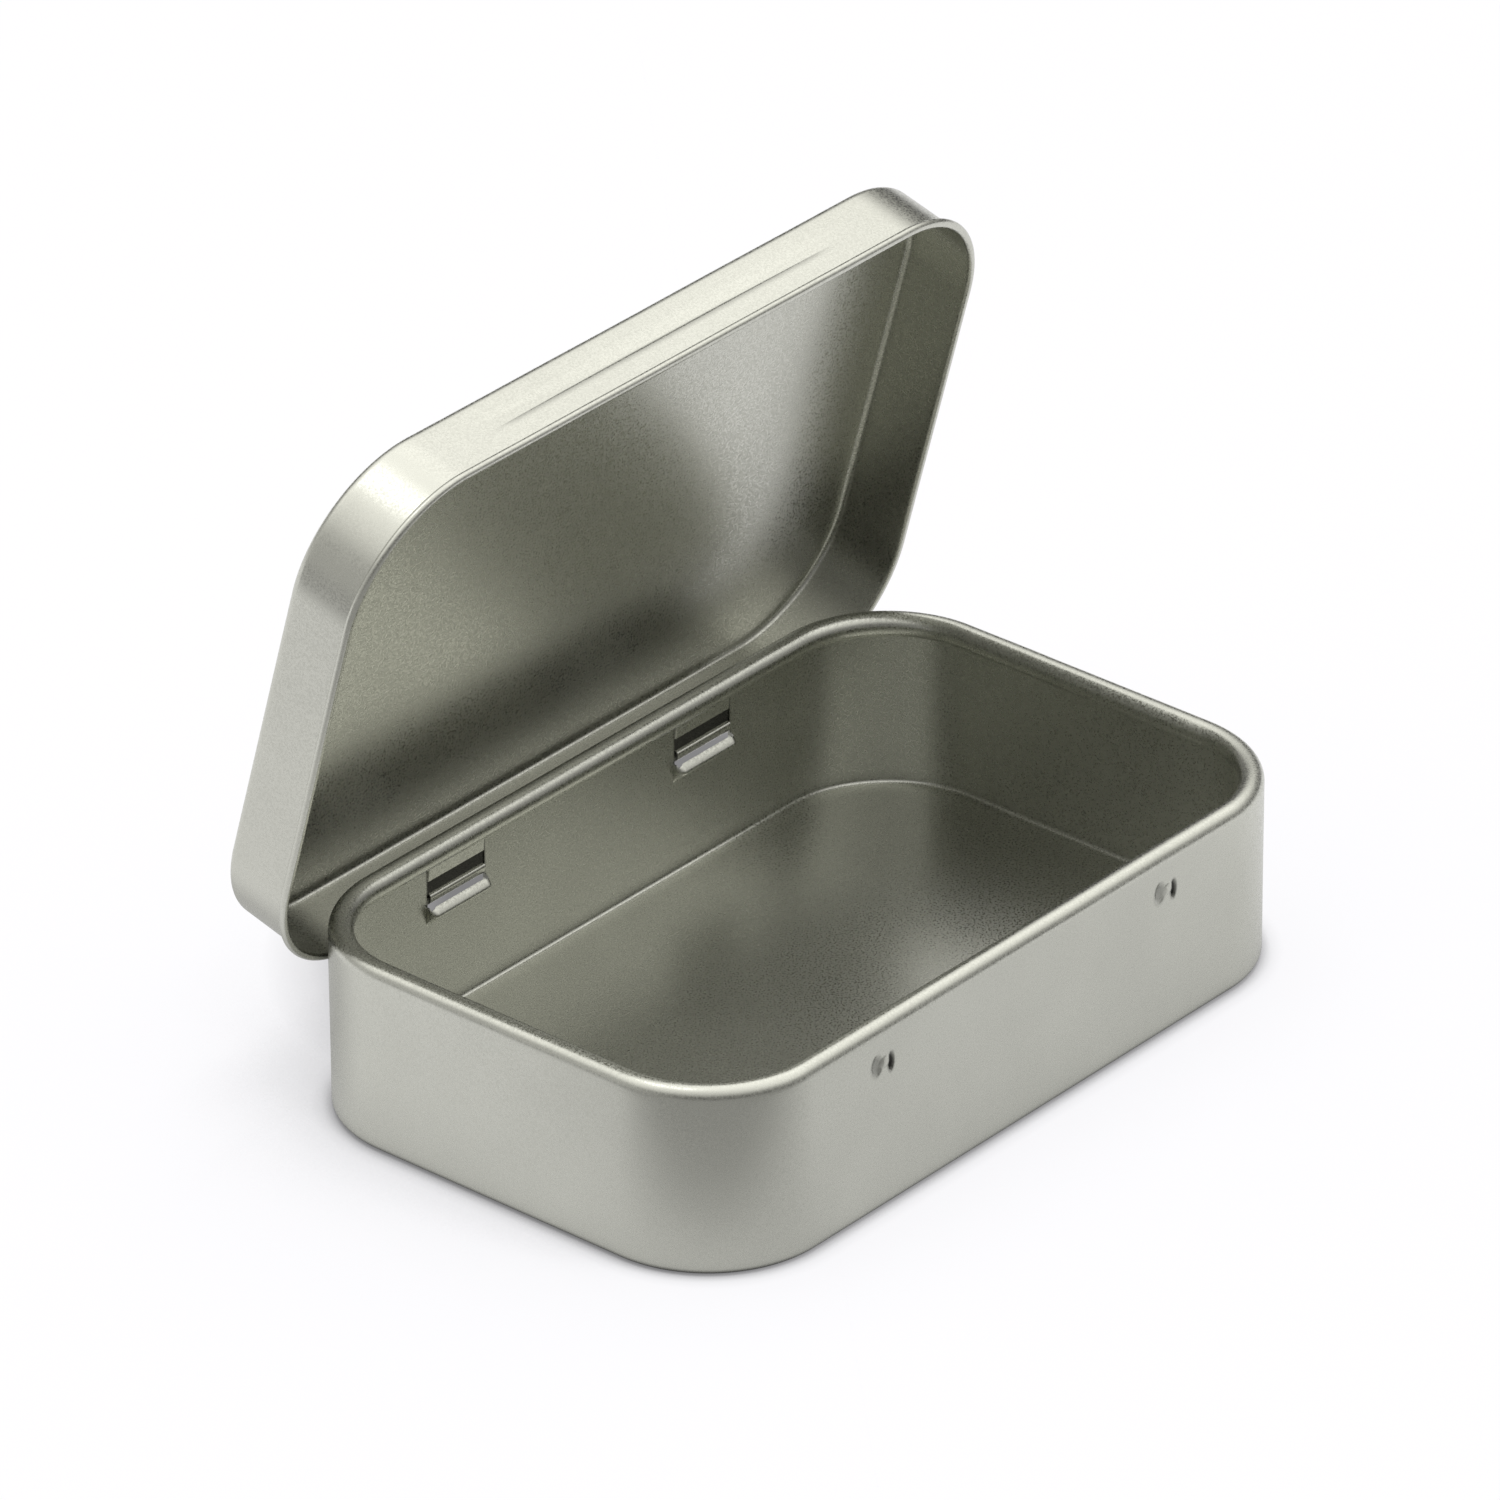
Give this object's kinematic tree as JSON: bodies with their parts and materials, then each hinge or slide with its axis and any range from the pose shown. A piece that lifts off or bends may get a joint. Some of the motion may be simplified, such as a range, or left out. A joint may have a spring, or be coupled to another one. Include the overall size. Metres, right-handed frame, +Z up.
{
  "type": "hinged mint tin",
  "caption": "Shallow rounded-rectangle tin: a drawn tray with a rolled rim and a slip lid hooked into its back wall, standing open.",
  "frame": {"origin": "middle of the tray's underside, on the surface that the tin stands on", "axes": "+X along the long side, +Y from the front wall towards the hinge, +Z up; the lid stands open, as in the picture"},
  "size_m": [0.0978, 0.0689, 0.0751],
  "materials": {
    "tinplate_tray": "satin tinplate",
    "tinplate_lid": "satin tinplate"
  },
  "bodies": {
    "tray": {"base_tray": "tinplate_tray"},
    "lid": {"lid": "tinplate_lid"}
  },
  "joints": [
    {"name": "lid_hinge", "type": "hinge", "parent": "tray", "child": "lid", "pos_m": [0, 0.0306, 0.01375], "axis": [1, 0, 0], "range_deg": [-7, 74.7]}
  ]
}
